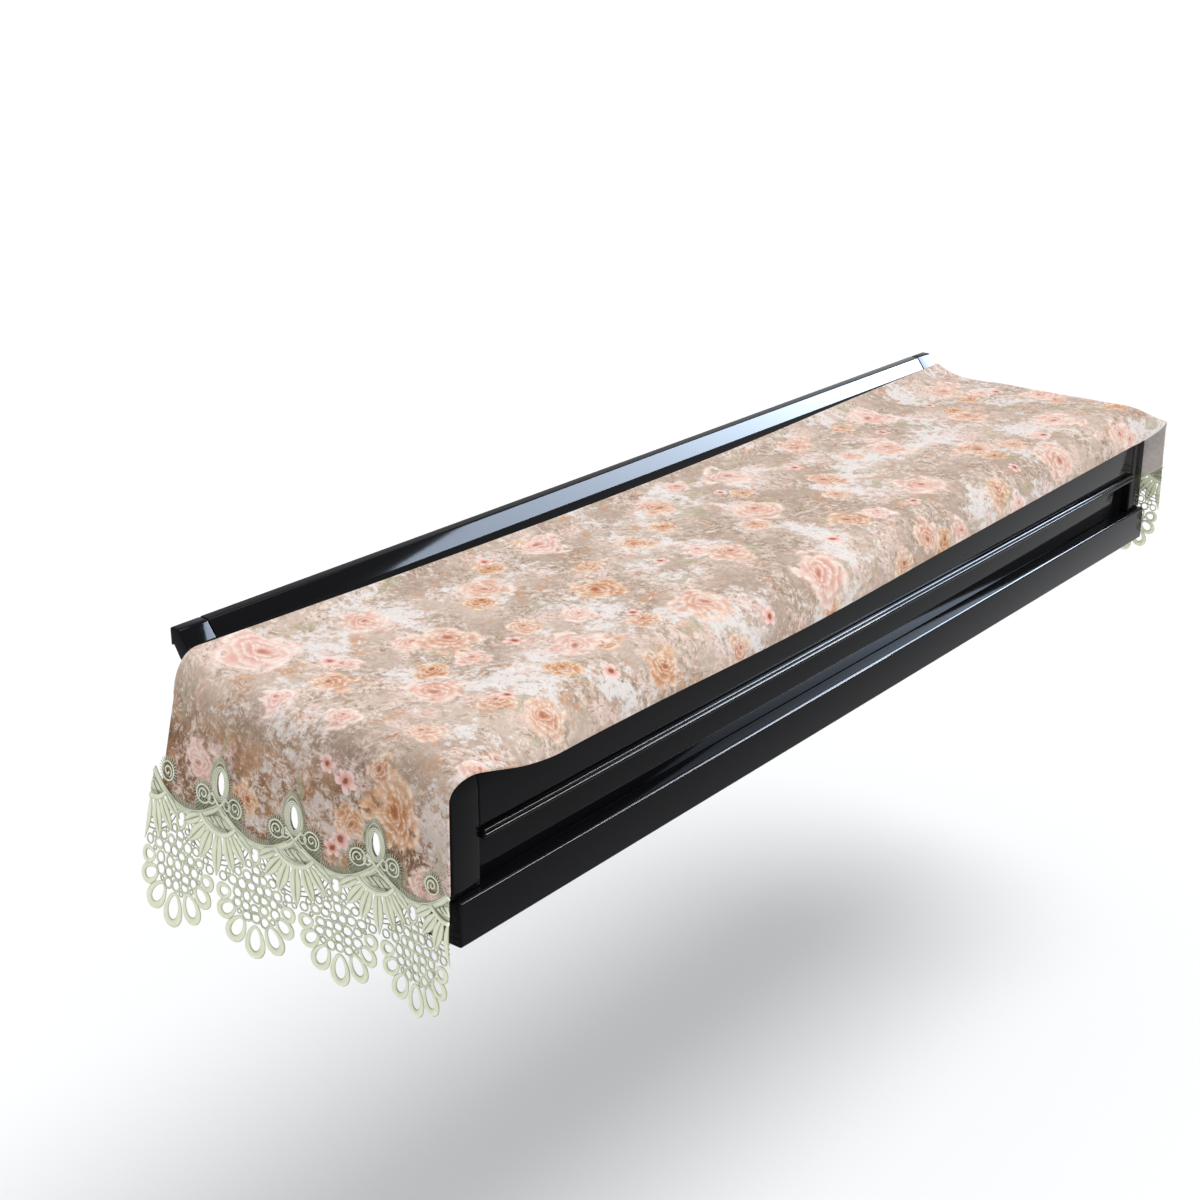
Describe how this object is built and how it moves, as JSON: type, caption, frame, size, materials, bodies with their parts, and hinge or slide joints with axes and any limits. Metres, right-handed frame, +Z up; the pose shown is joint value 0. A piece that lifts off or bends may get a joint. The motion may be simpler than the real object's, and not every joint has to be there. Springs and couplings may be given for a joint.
{
  "type": "piano keyboard cover on a keyboard case",
  "caption": "Long printed cloth cover with scalloped lace borders, draped over a closed black keyboard case so that its ends hang down past the case's sides.",
  "frame": {"origin": "middle of the keyboard case's flat back face, where the rest of the piano holds it", "axes": "+X along the keyboard to the player's right, +Y towards the piano's back, +Z up"},
  "size_m": [1.5868, 0.4043, 0.293],
  "materials": {
    "printed_cloth": "soft matt cloth with a painterly flower print",
    "lace_thread": "matt embroidered lace thread, pale sage",
    "black_lacquer": "black lacquer, high gloss"
  },
  "bodies": {
    "root": {"cover_cloth": "printed_cloth", "lace_left": "lace_thread", "lace_right": "lace_thread", "key_lid": "black_lacquer", "cheek_left": "black_lacquer", "cheek_right": "black_lacquer", "lid_bead": "black_lacquer", "key_slip": "black_lacquer", "bed_rail": "black_lacquer"}
  },
  "joints": []
}
